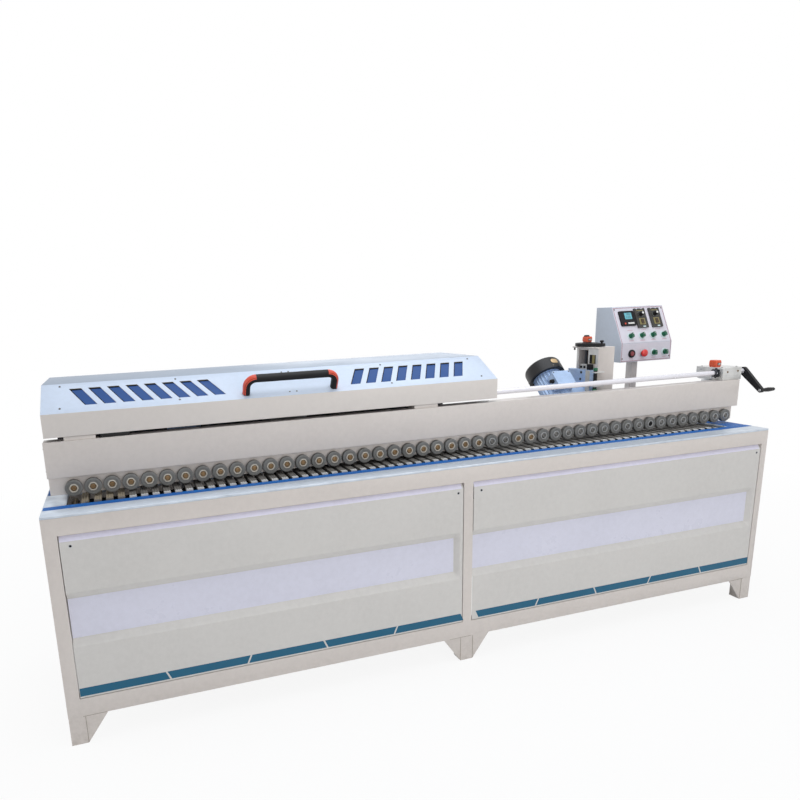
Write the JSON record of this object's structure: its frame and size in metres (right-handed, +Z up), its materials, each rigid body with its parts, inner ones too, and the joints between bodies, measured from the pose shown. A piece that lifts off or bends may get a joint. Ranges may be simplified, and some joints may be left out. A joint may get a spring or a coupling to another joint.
{
  "type": "edge banding machine",
  "caption": "Through-feed edge banding machine: chain conveyor cabinet, press beam with pressure rollers, hinged hood, tilted finishing motor on a slide, control box on a post.",
  "frame": {"origin": "on the floor, in the middle of the overall length and depth", "axes": "+X along the feed to the outfeed end, +Y from the operator's side to the back, +Z up"},
  "size_m": [3.316, 0.7, 1.426],
  "materials": {
    "cabinet_paint": "satin cream-grey powder coat",
    "machine_paint": "satin cream-grey powder coat",
    "bracket_aluminium": "machined bracket with a cream gear case",
    "table_plate": "pale plate edged with blue protective film",
    "chain_pads": "dark steel links with worn grey pads",
    "bare_steel": "machined",
    "polished_shaft": "ground and plated",
    "gearmotor_paint": "dark blue enamel",
    "roller_rubber": "grey rubber tyre on a cream hub",
    "crank_black": "satin black",
    "indicator_orange": "moulded orange housing",
    "window_tint": "tinted blue sheet",
    "handle_plastic": "black bar with red-orange corners",
    "motor_alloy": "blue-silver painted casting",
    "fan_cover_black": "black moulded cover",
    "pot_aluminium": "cast, heat-stained",
    "control_paint": "pale grey powder coat",
    "controller_black": "moulded bezel",
    "selector_green": "green knob on a pale ring",
    "button_red": "moulded red head"
  },
  "bodies": {
    "base": {"cabinet_frame": "cabinet_paint", "front_panel_left": "cabinet_paint", "front_panel_right": "cabinet_paint", "rear_panel": "cabinet_paint", "left_end_panel": "cabinet_paint", "right_end_panel": "cabinet_paint", "table_top": "table_plate", "conveyor_chain": "chain_pads", "conveyor_frame": "bare_steel", "conveyor_gearmotor": "gearmotor_paint", "lift_post_left": "bare_steel", "lift_post_right": "bare_steel", "unit_base_plate": "table_plate", "premill_motor": "motor_alloy", "glue_pot": "pot_aluminium", "slide_column": "machine_paint", "control_post": "control_paint", "control_box": "control_paint", "temperature_controller": "controller_black", "speed_controller_left": "controller_black", "speed_controller_right": "controller_black"},
    "drive_wheel": {"drive_sprocket": "bare_steel"},
    "idler_wheel": {"idler_sprocket": "bare_steel"},
    "beam": {"press_beam": "machine_paint", "roller_carrier": "machine_paint", "roller_bank": "roller_rubber", "lift_housing_left": "crank_black", "lift_housing_right": "bracket_aluminium", "height_indicator": "indicator_orange", "hood_support": "machine_paint"},
    "crank": {"cross_shaft": "polished_shaft", "crank_arm": "crank_black"},
    "grip": {"crank_grip": "crank_black"},
    "screw_left": {"lift_screw_left": "bare_steel"},
    "screw_right": {"lift_screw_right": "bare_steel"},
    "hood": {"hood_shell": "machine_paint", "hood_window_left": "window_tint", "hood_window_right": "window_tint", "hood_handle": "handle_plastic"},
    "roller_1": {"pressure_roller_1": "roller_rubber"},
    "roller_2": {"pressure_roller_2": "roller_rubber"},
    "roller_3": {"pressure_roller_3": "roller_rubber"},
    "premill_spindle": {"premill_cutter": "bare_steel"},
    "glue_spindle": {"glue_roller": "bare_steel"},
    "slide_spindle": {"slide_crank": "crank_black", "slide_indicator": "indicator_orange"},
    "carriage": {"slide_carriage": "motor_alloy", "finishing_motor": "motor_alloy", "motor_fan_cover": "fan_cover_black"},
    "finishing_spindle": {"finishing_cutter": "bare_steel"},
    "speed_left": {"speed_knob_left": "controller_black"},
    "speed_right": {"speed_knob_right": "controller_black"},
    "start": {"start_button": "button_red"},
    "stop": {"emergency_stop": "button_red"},
    "selector_1": {"selector_switch_1": "selector_green"},
    "selector_2": {"selector_switch_2": "selector_green"},
    "selector_3": {"selector_switch_3": "selector_green"},
    "selector_4": {"selector_switch_4": "selector_green"},
    "selector_5": {"selector_switch_5": "selector_green"},
    "selector_6": {"selector_switch_6": "selector_green"}
  },
  "joints": [
    {"name": "crank_turn", "type": "hinge", "parent": "beam", "child": "crank", "pos_m": [1.575, -0.135, 1.0985], "axis": [1, 0, 0], "range_deg": [0, 1800]},
    {"name": "beam_lift", "type": "slide", "parent": "base", "child": "beam", "axis": [0, 0, 1], "range_m": [0, 0.05]},
    {"name": "lift_screw_left_turn", "type": "hinge", "parent": "beam", "child": "screw_left", "pos_m": [-1.396, 0.01, 1], "axis": [0, 0, 1], "range_deg": [0, 1800]},
    {"name": "lift_screw_right_turn", "type": "hinge", "parent": "beam", "child": "screw_right", "pos_m": [1.47, -0.05, 1], "axis": [0, 0, 1], "range_deg": [0, 1800]},
    {"name": "grip_spin", "type": "hinge", "parent": "crank", "child": "grip", "pos_m": [1.62, -0.235, 1.0115], "axis": [1, 0, 0], "continuous": true},
    {"name": "hood_hinge", "type": "hinge", "parent": "beam", "child": "hood", "pos_m": [-0.7, 0.329, 1.0735], "axis": [-1, 0, 0], "range_deg": [0, 70]},
    {"name": "pressure_roller_1_spin", "type": "hinge", "parent": "beam", "child": "roller_1", "pos_m": [-1.555, -0.16075, 0.8917], "axis": [0, 1, 0], "continuous": true},
    {"name": "pressure_roller_2_spin", "type": "hinge", "parent": "beam", "child": "roller_2", "pos_m": [-1.48976, -0.16075, 0.8917], "axis": [0, 1, 0], "continuous": true},
    {"name": "pressure_roller_3_spin", "type": "hinge", "parent": "beam", "child": "roller_3", "pos_m": [-1.42452, -0.16075, 0.8917], "axis": [0, 1, 0], "continuous": true},
    {"name": "drive_sprocket_spin", "type": "hinge", "parent": "base", "child": "drive_wheel", "pos_m": [1.302, -0.155, 0.75661], "axis": [0, 1, 0], "continuous": true},
    {"name": "idler_sprocket_spin", "type": "hinge", "parent": "base", "child": "idler_wheel", "pos_m": [-1.498, -0.155, 0.75661], "axis": [0, 1, 0], "continuous": true},
    {"name": "premill_spin", "type": "hinge", "parent": "base", "child": "premill_spindle", "pos_m": [-1.138, 0, 0.9], "axis": [0, 0, 1], "continuous": true},
    {"name": "glue_roller_spin", "type": "hinge", "parent": "base", "child": "glue_spindle", "pos_m": [-0.708, -0.022, 0.9], "axis": [0, 0, 1], "continuous": true},
    {"name": "slide_crank_turn", "type": "hinge", "parent": "base", "child": "slide_spindle", "pos_m": [0.845, 0.112, 1.2], "axis": [0, 0, 1], "range_deg": [0, 900]},
    {"name": "finishing_slide", "type": "slide", "parent": "base", "child": "carriage", "axis": [0, 0, 1], "range_m": [0, 0.025]},
    {"name": "finishing_cutter_spin", "type": "hinge", "parent": "carriage", "child": "finishing_spindle", "pos_m": [0.672, -0.0359, 0.8841], "axis": [0, 0.7071, 0.7071], "continuous": true},
    {"name": "speed_knob_left_turn", "type": "hinge", "parent": "base", "child": "speed_left", "pos_m": [1.199, 0.151, 1.38904], "axis": [0, 0.9102, -0.4142], "range_deg": [0, 270]},
    {"name": "speed_knob_right_turn", "type": "hinge", "parent": "base", "child": "speed_right", "pos_m": [1.2895, 0.151, 1.38904], "axis": [0, 0.9102, -0.4142], "range_deg": [0, 270]},
    {"name": "selector_1_turn", "type": "hinge", "parent": "base", "child": "selector_1", "pos_m": [1.107, 0.10581, 1.28491], "axis": [0, 0.9102, -0.4142], "range_deg": [0, 90]},
    {"name": "selector_2_turn", "type": "hinge", "parent": "base", "child": "selector_2", "pos_m": [1.1758, 0.10581, 1.28491], "axis": [0, 0.9102, -0.4142], "range_deg": [0, 90]},
    {"name": "selector_3_turn", "type": "hinge", "parent": "base", "child": "selector_3", "pos_m": [1.2446, 0.10581, 1.28491], "axis": [0, 0.9102, -0.4142], "range_deg": [0, 90]},
    {"name": "selector_4_turn", "type": "hinge", "parent": "base", "child": "selector_4", "pos_m": [1.3134, 0.10581, 1.28491], "axis": [0, 0.9102, -0.4142], "range_deg": [0, 90]},
    {"name": "selector_5_turn", "type": "hinge", "parent": "base", "child": "selector_5", "pos_m": [1.2446, 0.09, 1.196], "axis": [0, 1, 0], "range_deg": [0, 90]},
    {"name": "selector_6_turn", "type": "hinge", "parent": "base", "child": "selector_6", "pos_m": [1.3134, 0.09, 1.196], "axis": [0, 1, 0], "range_deg": [0, 90]},
    {"name": "start_button_press", "type": "slide", "parent": "base", "child": "start", "axis": [0, 1, 0], "range_m": [0, 0.003], "stiffness_N_per_m": 800},
    {"name": "emergency_stop_press", "type": "slide", "parent": "base", "child": "stop", "axis": [0, 1, 0], "range_m": [0, 0.005], "stiffness_N_per_m": 1200}
  ],
  "couplings": [
    {"joint": "beam_lift", "follows": "crank_turn", "m_per_rad": 0.0015915},
    {"joint": "lift_screw_left_turn", "follows": "crank_turn", "ratio": 1},
    {"joint": "lift_screw_right_turn", "follows": "crank_turn", "ratio": 1},
    {"joint": "finishing_slide", "follows": "slide_crank_turn", "m_per_rad": 0.0015915},
    {"joint": "idler_sprocket_spin", "follows": "drive_sprocket_spin", "ratio": 1}
  ]
}
